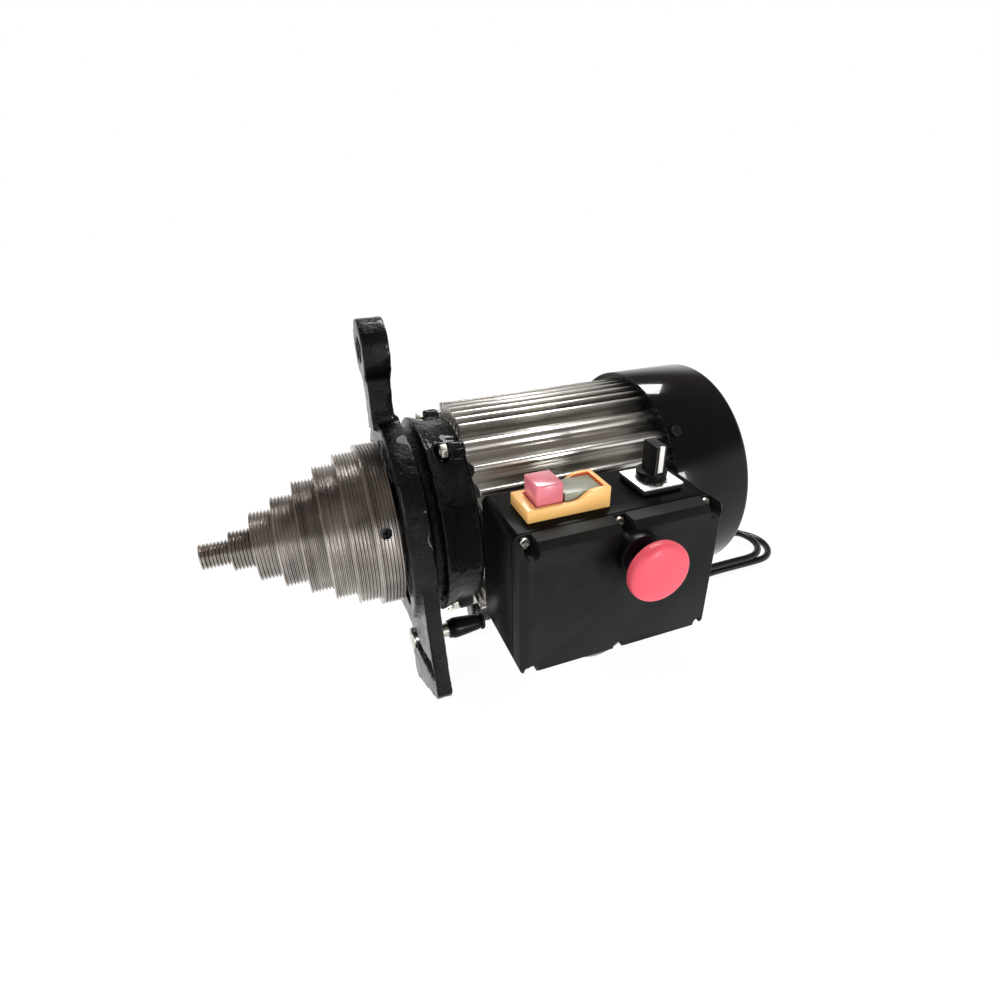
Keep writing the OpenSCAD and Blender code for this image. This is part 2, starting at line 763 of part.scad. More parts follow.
module lid_gasket() {
    color("dimgray") difference() {
        box_place() box_block(box_w - 1, box_h - 1, box_front - 1, box_front, box_edge - 0.5);
        box_place() box_block(box_w - 2 * box_wall, box_h - 2 * box_wall,
            box_front - 2, box_front + 1, box_edge - box_wall);
        for (p = lid_screw_places) box_place() translate([p[0], 0, p[1]])
            rod_y(box_front - 2, box_front + 1, lid_screw_r + 0.3);
    }
}

// Lid with a bevelled front, screw pockets cut into its shoulders
module switch_box_lid() {
    depth = lid_d - 1;
    color("darkslategray") difference() {
        union() {
            box_place() box_block(box_w, box_h, lid_front + lid_bevel, box_front - 1, box_edge);
            hull() {
                box_place() box_block(box_w, box_h, lid_front + lid_bevel,
                    lid_front + lid_bevel + 1, box_edge);
                box_place() box_block(box_w - 2 * lid_bevel, box_h - 2 * lid_bevel, lid_front,
                    lid_front + 1, 2);
            }
        }
        box_place() box_block(box_w - 2 * box_wall - 18, box_h - 2 * box_wall - 18,
            lid_front + box_wall, box_front + 1, 2);
        for (p = lid_screw_places) box_place() translate([p[0], 0, p[1]]) {
            rod_y(lid_front - 1, box_front + 1, lid_screw_r + 0.3);
            rod_y(lid_front - 1, box_front - lid_pocket_floor, lid_pocket_r);
            // the pocket runs out through the nearer long edge of the lid
            translate([-lid_pocket_r, lid_front - 1, p[1] > 0 ? 0 : -10])
                cube([2 * lid_pocket_r, lid_d + 1 - lid_pocket_floor, 10]);
        }
        translate([estop_x, 0, estop_z]) rod_y(lid_front - 1, box_front + 1, estop_hole_r + 0.2);
        translate([estop_x, 0, estop_z]) rod_y(lid_front + box_wall, box_front + 1, estop_nut_r + 0.5);
    }
}

module lid_screws() {
    lid_head_y = box_front - lid_pocket_floor - 2.5;
    color("dimgray") for (p = lid_screw_places) box_place() translate([p[0], 0, p[1]])
        difference() {
            union() {
                rod_y(lid_head_y, lid_head_y + 2.5, 3.4);
                rod_y(lid_head_y + 2.5 - eps, box_front + 10, lid_screw_r);
            }
            translate([-2.5, lid_head_y - 0.5, -0.45]) cube([5, 1.6, 0.9]);
            translate([-0.45, lid_head_y - 0.5, -2.5]) cube([0.9, 1.6, 5]);
        }
}

module box_mount_screws() {
    color("silver") for (x = [-40, 40], z = [-12, 12])
        box_place(box_back - box_wall) translate([x, 0, z]) rotate([90, 0, 0])
            cap_screw(2.3, 11);
}

module lead_grommet() {
    color("black") translate([box_xc - 20, box_back, box_zc]) difference() {
        union() {
            rod_y(-box_wall - 1.5, -box_wall - fit, 9);
            rod_y(-box_wall - fit - eps, 7, 6.9);
        }
        rod_y(-20, 20, 4);
    }
}

// Drum-shaped capacitor that lies along the bottom of the box
module run_capacitor() {
    color("ivory") translate([box_x0 + 58, box_back - box_wall - 21, box_z0 + box_wall + 21])
        lathe_x() polygon([[0, 0], [15, 0], [17, 2], [17, 54], [15, 56], [5, 56], [5, 62], [0, 62]]);
}

module terminal_block() {
    color("white") difference() {
        translate([box_x0 + 5, box_back - box_wall - 13, box_zc + 2]) cube([13, 13, 36]);
        for (z = [6:10:36]) translate([box_x0 + 11.5, box_back - box_wall - 14, box_zc + z])
            rod_y(0, 8, 2);
    }
}

// ---- start and stop switch ----

// Front wall seen from the box's front: low at the left, with an S rise to the right
module nvr_profile() {
    polygon(concat(
        [[0, 0], [nvr_w, 0], [nvr_w, nvr_high]],
        [for (t = [1:-0.125:0])
            [nvr_rise_x + t * nvr_rise_w, nvr_low + (nvr_high - nvr_low) * (1 - cos(180 * t)) / 2]],
        [[0, nvr_low]]));
}

module start_stop_housing() {
    color("orange") translate([nvr_x0, nvr_y0, box_z1]) difference() {
        translate([0, nvr_d, 0]) rotate([90, 0, 0]) linear_extrude(height = nvr_d) nvr_profile();
        translate([nvr_ledge, nvr_wall, 3])
            cube([nvr_w - nvr_ledge - nvr_wall, nvr_d - 2 * nvr_wall, 20]);
        translate([nvr_ledge + 3, nvr_wall + 3, -1])
            cube([nvr_w - nvr_ledge - nvr_wall - 6, nvr_d - 2 * nvr_wall - 6, 6]);
    }
}

// A button cap on a stem that reaches down through the switch housing
module button_cap(w, d, top, stem_w) {
    translate([0, 0, 3 + button_travel + 0.3]) cube([w, d, top - 3 - button_travel - 0.3]);
    translate([(w - stem_w) / 2, d / 2 - 3, -3]) cube([stem_w, 6, 7 + button_travel]);
}

module stop_button() {
    color("lightcoral")
        translate([nvr_x0 + nvr_ledge + button_gap, nvr_y0 + nvr_wall + button_gap, box_z1])
            button_cap(nvr_split - nvr_ledge - 2 * button_gap,
                nvr_d - 2 * nvr_wall - 2 * button_gap, stop_top, 6);
}

module start_button() {
    color("darkseagreen")
        translate([nvr_x0 + nvr_split + button_gap, nvr_y0 + nvr_wall + button_gap, box_z1])
            button_cap(nvr_w - nvr_split - nvr_wall - 2 * button_gap,
                nvr_d - 2 * nvr_wall - 2 * button_gap, start_top, 8);
}

module button_contactor() {
    color("black") translate([nvr_x0 + 7, nvr_y0 + 5, box_z1 - 34])
        cube([nvr_w - 20, nvr_d - 10, 28.5 - button_travel]);
}

// ---- selector ----

module selector_gasket() {
    color("black") translate([selector_x, selector_y, box_z1]) difference() {
        linear_extrude(height = selector_gasket_t)
            round_rect(selector_side - 1, selector_side - 1, 1.5);
        translate([0, 0, -1]) cylinder(h = 10, r = 5.5, $fn = 48);
    }
}

module selector_plate() {
    color("silver") translate([selector_x, selector_y, box_z1 + selector_gasket_t]) difference() {
        linear_extrude(height = selector_plate_t) round_rect(selector_side, selector_side, 1);
        translate([0, 0, -1]) cylinder(h = 10, r = 5.5, $fn = 48);
    }
}

module on_selector() {
    translate([selector_x, selector_y, box_z1 + selector_gasket_t + selector_plate_t + gap])
        rotate([0, 0, selector_rest]) children();
}

module selector_knob() {
    color("black") on_selector() difference() {
        union() {
            cylinder(h = 5, r = selector_hub_r, $fn = 64);
            translate([-6, -3.5, 4]) cube([14.5, 7, 19]);
            translate([0, 0, -10]) cylinder(h = 11, r = 4, $fn = 48);
        }
        translate([7, -1.7, 6]) cube([3, 3.4, 20]);
        translate([-7, -5, 17]) rotate([0, -20, 0]) translate([-10, 0, 0]) cube([10, 10, 20]);
    }
}

module selector_pointer() {
    color("white") on_selector() translate([7, -1.7 + fit, 6]) cube([1.9, 3.4 - 2 * fit, 16.9]);
}

module selector_switch_body() {
    color("black") translate([selector_x, selector_y, box_z1 - 40]) difference() {
        translate([-13, -13, 0]) cube([26, 26, 40 - box_wall - 0.3]);
        translate([0, 0, 25]) cylinder(h = 20, r = 5, $fn = 48);
    }
}

// ---- emergency stop ----

module on_estop() {
    translate([estop_x, lid_front, estop_z]) children();
}

module estop_collar() {
    color("black") on_estop() difference() {
        union() {
            rod_y(-6, -fit, estop_collar_r);
            rod_y(-fit - eps, lid_d - 3, estop_hole_r);
        }
        rod_y(-10, lid_d + 10, estop_stem_r + gap);
    }
}

module estop_stem() {
    color("dimgray") on_estop() difference() {
        rod_y(-estop_neck, lid_d + 8, estop_stem_r);
        rod_y(-estop_neck - 1, -estop_neck + 8, estop_pin_r + gap);
    }
}

// Mushroom with a domed face, turned about Y
module estop_mushroom() {
    color("crimson") on_estop() {
        translate([0, -estop_neck - gap, 0]) rotate([90, 0, 0]) rotate_extrude($fn = 96)
            polygon([[0, 0], [estop_r - 7, 0], [estop_r - 1, 3], [estop_r, 5],
                [estop_r, 8], [estop_r - 1.2, 9.6], [estop_r - 4, estop_head],
                [0, estop_head + 1.5]]);
        rod_y(-estop_neck - gap - eps, -estop_neck + 7, estop_pin_r);
    }
}

module estop_locknut() {
    color("gray") on_estop() difference() {
        translate([0, box_wall + fit, 0]) rotate([-90, 0, 0]) cylinder(h = 4, r = estop_nut_r, $fn = 8);
        rod_y(0, 20, estop_hole_r + fit);
    }
}

module estop_contact_block() {
    color("gray") on_estop() translate([-12, lid_d + 8 + estop_travel + gap, -18])
        cube([24, 15, 22]);
}

// ---- belt tension clamp ----

module on_clamp() {
    translate([plate_x0, clamp_y, clamp_z]) rotate([-clamp_turn, 0, 0]) children();
}

module clamp_stud() {
    color("silver") on_clamp() {
        rod_x(-gap - eps, grip_x0 + 10, stud_r);
        rod_x(-gap - stud_head_t, -gap, 8.5);
    }
}

module clamp_washer() {
    color("silver") on_clamp() ring_x(plate_t + gap, plate_t + gap + 2.5, 10, stud_r + 0.1);
}

module clamp_grip() {
    color("black") on_clamp() difference() {
        union() {
            rod_x(grip_x0, grip_x0 + 4, stud_r + 2);
            cone_x(grip_x0 + 4 - eps, grip_x0 + grip_l - 5, grip_r, grip_r - 2);
            rod_x(grip_x0 + grip_l - 5 - eps, grip_x0 + grip_l - 3.5, grip_r - 3);
            cone_x(grip_x0 + grip_l - 3.5 - eps, grip_x0 + grip_l, grip_r - 1.2, grip_r - 3);
        }
        rod_x(grip_x0 - 1, grip_x0 + 11, stud_r + 0.05);
    }
}

// ---- mains lead ----

module mains_gland() {
    color("black") translate([gland_x, gland_y, 0]) difference() {
        union() {
            translate([0, 0, box_z0 - gland_l]) cylinder(h = 3, r1 = 7.5, r2 = gland_r, $fn = 64);
            translate([0, 0, box_z0 - gland_l + 3 - eps])
                cylinder(h = gland_l - 3, r = gland_r * 1.08, $fn = 6);
            translate([0, 0, box_z0 - eps]) cylinder(h = 8, r = 6.1, $fn = 48);
            translate([0, 0, box_z0 + box_wall + fit]) cylinder(h = 3.5, r = 9, $fn = 6);
        }
        translate([0, 0, box_z0 - gland_l + 1]) cylinder(h = 40, r = 3.6, $fn = 48);
    }
}

function unit(v) = v / norm(v);
function heading(p, i) = unit(p[min(i + 1, len(p) - 1)] - p[max(i - 1, 0)]);
function across(d) = unit(cross(d, abs(d[2]) > 0.98 ? [0, 1, 0] : [0, 0, 1]));
function ring_at(p, i, r) = let(d = heading(p, i), u = across(d), v = cross(d, u))
    [for (k = [0:cord_sides - 1]) let(a = 360 * k / cord_sides)
        p[i] + r * (cos(a) * u + sin(a) * v)];

// A closed tube along the points of a route, from one radius to another
module tube(route, r0, r1) {
    n = len(route);
    m = cord_sides;
    points = [for (i = [0:n - 1]) each ring_at(route, i, r0 + (r1 - r0) * i / (n - 1))];
    walls = [for (i = [0:n - 2], k = [0:m - 1])
        let(a = i * m + k, b = i * m + (k + 1) % m) each [[a, b, b + m], [a, b + m, a + m]]];
    ends = [[for (k = [m - 1:-1:0]) k], [for (k = [0:m - 1]) (n - 1) * m + k]];
    polyhedron(points, concat(walls, ends), convexity = 6);
}

module strain_relief() {
    color("black") tube(relief_route, relief_r, cord_r + 1);
}

module mains_cord() {
    color("black") {
        tube(cord_route, cord_r, cord_r);
        tube(tail_route, cord_r, cord_r);
    }
}

module cord_coil() {
    color("black") translate([coil_x, coil_y, bench_z]) rotate_extrude($fn = 96)
        translate([coil_r - coil_turns_wide * cord_r, 0])
            square([coil_turns_wide * cord_d, coil_layers * cord_d]);
}

// Strap over the coil at its far side
module cord_tie() {
    w = coil_turns_wide * cord_d + 1.6;
    h = coil_layers * cord_d + gap;
    color("dimgray") translate([coil_x, coil_y + coil_r, bench_z]) difference() {
        translate([-5, -w / 2 - 1.5, 0]) cube([10, w + 3, h + 1.5]);
        translate([-6, -w / 2, -1]) cube([12, w, h + 1]);
    }
}

module plug_body() {
    color("black") translate([plug_x, tail_route[3][1], bench_z + plug_r]) mirror([1, 0, 0])
        lathe_x() polygon([[0, 0], [cord_r + 1.5, 0], [cord_r + 3, 8], [plug_r - 2, 20],
            [plug_r, 24], [plug_r, plug_l - 2], [plug_r - 2, plug_l], [0, plug_l]]);
}

module plug_pins() {
    color("gold") translate([plug_x - plug_l, tail_route[3][1], bench_z + plug_r])
        for (y = [-pin_gap / 2, pin_gap / 2]) translate([0, y, 0]) {
            rod_x(-19, -2, 2.4);
            cone_x(-2 - eps, -fit, 2.4, 3);
        }
}

cone_pulley();
pulley_set_screws();
motor_shaft();
shaft_key();
rotor_core();
rotor_cage();
cooling_fan();
front_bearing();
rear_bearing();
shaft_seal();
wave_washer();
mounting_bracket();
pivot_bush();
bracket_screws();
drive_end_shield();
motor_housing();
cooling_fins();
stator_core();
stator_windings();
rear_end_shield();
tie_bolts();
fan_cowl();
cowl_screws();
switch_box_base();
switch_box_lid();
lid_gasket();
lid_screws();
box_mount_screws();
run_capacitor();
terminal_block();
lead_grommet();
start_stop_housing();
stop_button();
start_button();
button_contactor();
selector_gasket();
selector_plate();
selector_knob();
selector_pointer();
selector_switch_body();
estop_collar();
estop_stem();
estop_mushroom();
estop_locknut();
estop_contact_block();
clamp_stud();
clamp_washer();
clamp_grip();
mains_gland();
strain_relief();
mains_cord();
cord_coil();
cord_tie();
plug_body();
plug_pins();
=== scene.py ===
# %% [markdown]
# # The drive motor of a wood lathe
#
# The machine drives its spindle with a flat ribbed belt. This unit hangs on a pin through the
# eye at the top of its black bracket, and swings about it to tighten the belt. The CAD model
# already holds every piece at its true size, so this lesson dresses it: cast iron gets its
# skin, steel its turning marks, plastic its soft edges, and the mains lead its real curve.

# %% Load the CAD frame
import json
import math

import bmesh
import bpy
from mathutils import Matrix, Vector, noise

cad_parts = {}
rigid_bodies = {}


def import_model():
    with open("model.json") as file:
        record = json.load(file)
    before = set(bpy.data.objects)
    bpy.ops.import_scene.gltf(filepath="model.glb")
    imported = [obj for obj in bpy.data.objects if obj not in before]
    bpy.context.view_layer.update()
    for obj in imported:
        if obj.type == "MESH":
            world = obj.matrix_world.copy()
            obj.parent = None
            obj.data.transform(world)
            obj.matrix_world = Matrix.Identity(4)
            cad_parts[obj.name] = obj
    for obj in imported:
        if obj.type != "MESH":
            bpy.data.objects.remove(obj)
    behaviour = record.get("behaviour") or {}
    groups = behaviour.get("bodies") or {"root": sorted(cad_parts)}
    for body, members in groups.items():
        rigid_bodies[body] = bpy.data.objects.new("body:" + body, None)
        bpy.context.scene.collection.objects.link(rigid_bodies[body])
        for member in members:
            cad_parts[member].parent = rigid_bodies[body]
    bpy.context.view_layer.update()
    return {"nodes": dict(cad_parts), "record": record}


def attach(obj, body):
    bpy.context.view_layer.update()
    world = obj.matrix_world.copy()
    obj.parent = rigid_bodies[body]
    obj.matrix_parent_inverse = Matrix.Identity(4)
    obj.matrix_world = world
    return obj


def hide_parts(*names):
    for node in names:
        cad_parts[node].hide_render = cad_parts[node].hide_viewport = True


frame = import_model()
nodes = frame["nodes"]
MM = 0.001

# %% [markdown]
# ## The camera
#
# A camera in Blender looks along its own -Z, with +Y up in the picture. Giving it a place, a
# direction and an "up" is enough: two cross products turn those into a clean rotation. The lens
# is short, because the object was seen from only 40 cm away, and that is what makes the pulley
# look so much bigger than it would from across a room.

# %% Camera
eye = Vector((-0.05542, -0.40212, 0.09768))
forward = Vector((0.2974, 0.8261, -0.4787)).normalized()
right = forward.cross(Vector((0.1863, 0.4415, 0.8777))).normalized()
up = right.cross(forward)

camera_data = bpy.data.cameras.new("camera")
camera_data.sensor_width = 36
camera_data.lens = 21.054
camera_data.clip_start = 0.01
camera = bpy.data.objects.new("camera", camera_data)
camera.matrix_world = Matrix.Translation(eye) @ Matrix((right, up, -forward)).transposed().to_4x4()
bpy.context.scene.collection.objects.link(camera)
bpy.context.scene.camera = camera
print("camera", [round(v, 3) for v in camera.location], "lens", camera_data.lens, "mm")

# %% [markdown]
# ## The mains lead
#
# A lead is a fixed length of something springy, so it is drawn as one smooth curve with a round
# section and never as loose bits. It leaves the gland under the switch box, drops to the bench,
# runs behind the motor and makes two loops by the fan cowl. The rest of its two metres is put
# away in a coil of four turns. The turns step sideways and upwards in the last quarter of each
# round, which is how a real coil climbs over itself.

# %% Lead: where it runs
cord_d = 7 * MM
bench_z = -276.5 * MM
coil_centre = Vector((150 * MM, 75 * MM, 0))
coil_inner, coil_outer = 36.5 * MM, 43.5 * MM
low, high = bench_z + cord_d / 2, bench_z + 1.5 * cord_d
relief_top = Vector((78, -133, -175)) * MM
loop_r, loop_y = 29, 28  # both in millimetres, as is the lift of one strand over another
lift = 7.3


def on_bench(points):
    """Points in millimetres whose height counts from a cord lying on the bench."""
    return [Vector((x * MM, y * MM, low + z * MM)) for x, y, z in points]


def half_turn(centre_x, start, height):
    """Half a loop, in the sense that the lead runs."""
    angles = [math.radians(start + 22.5 * i) for i in range(9)]
    return on_bench([(centre_x + loop_r * math.cos(a), loop_y + loop_r * math.sin(a), height)
                     for a in angles])


relief_end = relief_top + Vector((12, 11, -25.5)) * MM
hanging = [relief_end + Vector((x * MM, y * MM, drop * (low - relief_end.z))) for x, y, drop in (
    (0, 0, 0), (12, 10, 0.15), (25, 21, 0.33), (38, 31, 0.52), (52, 42, 0.7), (67, 53, 0.85),
    (84, 64, 0.955), (102, 75, 1), (122, 86, 1))]
route = (
    hanging
    + on_bench([(234, -26, 0), (257, -16, 0), (281, -8, 0), (306, -3, 0), (331, -1, 0),
                (358, -1, 0)])
    + half_turn(388, -90, 0)
    + on_bench([(370, 57, 0), (352, 57, 0.2), (340, 57, 0.22 * lift), (328, 57, 0.6 * lift),
                (318, 57, 0.9 * lift)])
    + half_turn(310, 90, lift)
    + on_bench([(x, -1, lift) for x in (325, 341, 357)])
    + half_turn(372, -90, lift)
    + on_bench([(356, 56.2, lift), (342, 54.4, 1.1 * lift), (328, 52.4, 1.45 * lift),
                (312, 50, 1.9 * lift), (296, 47.5, 2 * lift), (280, 45, 1.95 * lift),
                (264, 42.5, 1.5 * lift), (248, 40, 0.8 * lift), (232, 37.7, 0.25 * lift),
                (214, 35, 0), (193, 32.5, 0), (172, 31.5, 0)]))
tail = on_bench([(138, 24.5, lift), (121, 24.5, 9), (104, 24.5, 10.5)])


def eased(t):
    """0 to 1 with a soft start and a soft stop."""
    return t * t * (3 - 2 * t)


def coil_point(turn):
    """The place on the coil after so many turns: two turns below, then two above."""
    whole, part = int(turn), turn - int(turn)
    step = eased(max(0.0, part * 4 - 3))
    bulge = math.sin(math.pi * step)
    radius, height = [
        (coil_outer + (coil_inner - coil_outer) * step, low),
        (coil_inner - 3.5 * MM * bulge, low + (high - low) * step),
        (coil_inner + (coil_outer - coil_inner) * step, high),
        (coil_outer + cord_d * step, high)][min(whole, 3)]
    angle = math.radians(-90 - 360 * turn)
    return coil_centre + Vector((radius * math.cos(angle), radius * math.sin(angle), height))


coil = [coil_point(i / 24) for i in range(0, 4 * 24)]
cord_line = route + coil + tail
cord_length = sum((b - a).length for a, b in zip(cord_line, cord_line[1:]))
print("lead", round(cord_length, 3), "m")

# %% [markdown]
# A curve object with a bevel depth is the lightest way to make a round cord: the curve stays a
# line that can be measured, and Blender wraps the round skin around it. Each handle points
# from the neighbour before to the neighbour after, a third of the way along, which makes the
# curve pass smoothly through every point of the route. The section is the bevel depth times
# each point's radius; holding the size in the radius keeps the curve's own box tight.

# %% Lead: the curve
cord_curve = bpy.data.curves.new("mains_lead", "CURVE")
cord_curve.dimensions = "3D"
cord_curve.bevel_depth = 1.0
cord_curve.bevel_resolution = 5
cord_curve.resolution_u = 5
cord_curve.use_fill_caps = True
spline = cord_curve.splines.new("BEZIER")
spline.bezier_points.add(len(cord_line) - 1)
before = [cord_line[0]] + cord_line[:-1]
after = cord_line[1:] + [cord_line[-1]]
for point, last, place, coming in zip(spline.bezier_points, before, cord_line, after):
    way = (coming - last).normalized()
    point.handle_left_type = point.handle_right_type = "FREE"
    point.co, point.radius = place, cord_d / 2
    point.handle_left = place - way * ((place - last).length / 3)
    point.handle_right = place + way * ((coming - place).length / 3)
mains_lead = bpy.data.objects.new("mains_lead", cord_curve)
bpy.context.scene.collection.objects.link(mains_lead)
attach(mains_lead, "frame")
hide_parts("mains_cord", "cord_coil")

# %% [markdown]
# ## A short way to write shader maths
#
# Blender's shader arithmetic is made of Math nodes. One small class wraps a socket so that
# `1 - mask * 0.5` adds those nodes by itself, and one method adds any other node. After that a
# finish reads like a recipe. Python turns `3 > mask` round and asks the mask whether it is less
# than 3, so both comparisons are needed.

# %% Shader helpers
class Flow:
    """A number, colour or vector that comes out of a node, ready for arithmetic."""

    def __init__(self, finish, socket):
        self.finish, self.socket = finish, socket

    def maths(self, operation, first, second):
        return self.finish.node("Math", {"operation": operation}, {0: first, 1: second})

    def __add__(self, other): return self.maths("ADD", self, other)
    def __radd__(self, other): return self.maths("ADD", other, self)
    def __sub__(self, other): return self.maths("SUBTRACT", self, other)
    def __rsub__(self, other): return self.maths("SUBTRACT", other, self)
    def __mul__(self, other): return self.maths("MULTIPLY", self, other)
    def __rmul__(self, other): return self.maths("MULTIPLY", other, self)
    def __pow__(self, other): return self.maths("POWER", self, other)
    def __gt__(self, other): return self.maths("GREATER_THAN", self, other)
    def __lt__(self, other): return self.maths("LESS_THAN", self, other)


class Finish:
    """One material: a Principled shader with nodes in front of it."""

    def __init__(self, name, **values):
        self.material = bpy.data.materials.new(name)
        self.material.use_nodes = True
        self.tree = self.material.node_tree
        self.shader = self.tree.nodes["Principled BSDF"]
        for socket, value in values.items():
            self.feed(self.shader.inputs[socket.replace("_", " ")], value)
        self.place = self.node("TexCoord", out="Object")
        parts = self.node("SeparateXYZ", values={0: self.place}, out=None)
        self.x, self.y, self.z = (Flow(self, s) for s in parts.outputs)

    def feed(self, socket, value):
        if isinstance(value, Flow):
            self.tree.links.new(value.socket, socket)
        elif isinstance(value, (tuple, list)) and len(socket.default_value) == 4:
            socket.default_value = (*value[:3], 1)
        else:
            socket.default_value = value

    def node(self, kind, settings=None, values=None, out=0):
        made = self.tree.nodes.new("ShaderNode" + kind)
        for key, value in (settings or {}).items():
            if key == "stops":
                for stop, (at, shade) in zip(
                        [made.color_ramp.elements[0], made.color_ramp.elements[1]]
                        + [made.color_ramp.elements.new(0.5) for _ in value[2:]], value):
                    stop.position, stop.color = at, (shade, shade, shade, 1)
            else:
                setattr(made, key, value)
        for key, value in (values or {}).items():
            self.feed(made.inputs[key], value)
        return made if out is None else Flow(self, made.outputs[out])

    def noise(self, scale, detail=2, stretch=None, roughness=0.5):
        """Cloudy values from 0 to 1, about 1 / scale metres apart, stretched if asked."""
        place = self.place
        if stretch:
            place = self.node("VectorMath", {"operation": "MULTIPLY"}, {0: place, 1: stretch})
        return self.node("TexNoise", values={
            "Vector": place, "Scale": scale, "Detail": detail, "Roughness": roughness})

    def colour(self, amount, first, second):
        """A colour between two others."""
        mix = self.node("Mix", {"data_type": "RGBA"}, {0: amount}, out=None)
        for socket, value in ((mix.inputs[6], first), (mix.inputs[7], second)):
            self.feed(socket, value)
        return Flow(self, mix.outputs[2])

    def ramp(self, value, *stops):
        """The value through a curve of grey stops, as a number."""
        return self.node("ValToRGB", {"stops": stops}, {0: value}) * 1.0

    def bump(self, height, depth, strength=1.0):
        """Tilts the surface as if it rose by depth metres where height is 1."""
        made = self.node("Bump", values={
            "Height": height, "Distance": depth, "Strength": strength})
        self.feed(self.shader.inputs["Normal"], made)

    def use(self, **values):
        for socket, value in values.items():
            self.feed(self.shader.inputs[socket.replace("_", " ")], value)
        return self


print("helpers ready")

# %% [markdown]
# ## Turned steel
#
# The pulley was turned on a lathe, so its marks are rings round the shaft. A ring has the same
# distance from the shaft all the way round, and the same place along it: noise read at those
# two numbers alone turns into fine grooves that follow the tool, on the faces and in the belt
# grooves alike.

# %% Finish: turned steel
shaft_y, shaft_z = -16 * MM, -124.5 * MM


def from_shaft(f):
    """Distance from the shaft line."""
    across, height = f.y - shaft_y, f.z - shaft_z
    return (across * across + height * height) ** 0.5


def turned(name, bright, dark, roughness):
    f = Finish(name, Metallic=1.0)
    rings = f.node("CombineXYZ", values={0: f.x, 1: from_shaft(f), 2: 0.0})
    fine = f.node("TexNoise", values={"Vector": rings, "Scale": 2600, "Detail": 3})
    wide = f.node("TexNoise", values={"Vector": rings, "Scale": 240, "Detail": 2})
    stain = f.noise(45, 3)
    patches = f.ramp(stain * 0.5 + wide * 0.5, (0.35, 0), (0.65, 1))
    f.use(Base_Color=f.colour(patches, dark, bright),
          Roughness=fine * 0.16 + stain * 0.12 + roughness)
    f.bump(fine * 0.6 + wide * 0.4, 0.00006)
    return f.material


turned_steel = turned("turned_steel", (0.62, 0.59, 0.56), (0.34, 0.31, 0.29), 0.13)
ground_steel = turned("ground_steel", (0.66, 0.65, 0.63), (0.50, 0.49, 0.47), 0.10)
print(turned_steel.name, ground_steel.name)

# %% [markdown]
# ## Black castings
#
# Cast iron comes out of sand, and thick black gloss paint follows every lump of it. The big
# lumps are modelled further down; the finish adds the small ones and the way that paint pools:
# a smooth glossy coat over a surface that is never flat.

# %% Finish: glossy cast paint
def cast_paint(name, lump, depth):
    f = Finish(name, Specular_IOR_Level=0.16, Coat_Roughness=0.06, Coat_IOR=1.45)
    lumps, grain, wide = f.noise(lump, 4, roughness=0.62), f.noise(1500, 2), f.noise(40, 2)
    f.use(Base_Color=f.colour(wide, (0.002, 0.002, 0.0025), (0.006, 0.006, 0.006)),
          Roughness=grain * 0.14 + wide * 0.16 + 0.12,
          Coat_Weight=f.ramp(wide, (0.3, 0.15), (0.7, 0.6)))
    f.bump(lumps * 0.8 + grain * 0.1, depth)
    return f.material


black_casting = cast_paint("black_casting", 420, 0.0010)
black_shield = cast_paint("black_shield", 900, 0.0015)
print(black_casting.name)

# %% [markdown]
# ## Extruded and pressed metal
#
# The finned housing was pushed through a die, which leaves faint lines along its length. The
# fan cowl was pressed from sheet and sprayed: nearly a mirror, with a trace of orange peel.

# %% Finish: housing, cowl and small metal
def drawn_metal(name, bright, dark, roughness, stretch, depth):
    f = Finish(name, Metallic=1.0)
    lines, cloud = f.noise(1, 4, stretch), f.noise(28, 3)
    f.use(Base_Color=f.colour(f.ramp(lines, (0.3, 0), (0.7, 1)), dark, bright),
          Roughness=lines * 0.12 + cloud * 0.14 + roughness)
    f.bump(lines, depth)
    return f.material


def sprayed(name, base, peel, depth, roughness):
    f = Finish(name, Coat_Roughness=0.03, Coat_IOR=1.5, Specular_IOR_Level=0.14)
    skin, dust = f.noise(peel, 2), f.noise(60, 4)
    f.use(Base_Color=f.colour(dust, base, tuple(v + 0.005 for v in base)),
          Roughness=dust * 0.10 + roughness, Coat_Weight=0.62 - dust * 0.1)
    f.bump(skin, depth)
    return f.material


extrusion = drawn_metal("extruded_aluminium", (0.74, 0.73, 0.70), (0.52, 0.50, 0.47), 0.17,
                        (6, 900, 900), 0.00005)
plate_metal = drawn_metal("brushed_plate", (0.95, 0.95, 0.93), (0.82, 0.82, 0.80), 0.30,
                          (40, 2600, 400), 0.00003)
gloss_black = sprayed("gloss_black_sheet", (0.002, 0.002, 0.0025), 420, 0.00004, 0.10)
zinc = drawn_metal("zinc_plate", (0.78, 0.77, 0.72), (0.55, 0.54, 0.50), 0.22,
                   (600, 600, 600), 0.00004)
black_oxide = drawn_metal("black_oxide", (0.10, 0.10, 0.11), (0.04, 0.04, 0.045), 0.32,
                          (500, 500, 500), 0.00004)
nickel = drawn_metal("nickel", (0.84, 0.81, 0.75), (0.70, 0.67, 0.62), 0.12,
                     (900, 300, 300), 0.00002)
laminations = drawn_metal("laminations", (0.34, 0.34, 0.35), (0.18, 0.18, 0.19), 0.38,
                          (3000, 60, 60), 0.0001)
raw_aluminium = drawn_metal("cast_aluminium", (0.72, 0.72, 0.73), (0.55, 0.55, 0.56), 0.36,
                            (300, 300, 300), 0.00012)
copper = drawn_metal("enamelled_copper", (0.60, 0.24, 0.08), (0.36, 0.12, 0.04), 0.20,
                     (1600, 200, 200), 0.0002)
print("metal finishes:", len(bpy.data.materials))

# %% [markdown]
# ## Moulded plastic and rubber
#
# A mould is etched so that the plastic isn't a mirror: a grain far finer than a millimetre that
# breaks up the gloss. Handling then polishes some places and leaves others dull, so the
# roughness wanders slowly over the part.

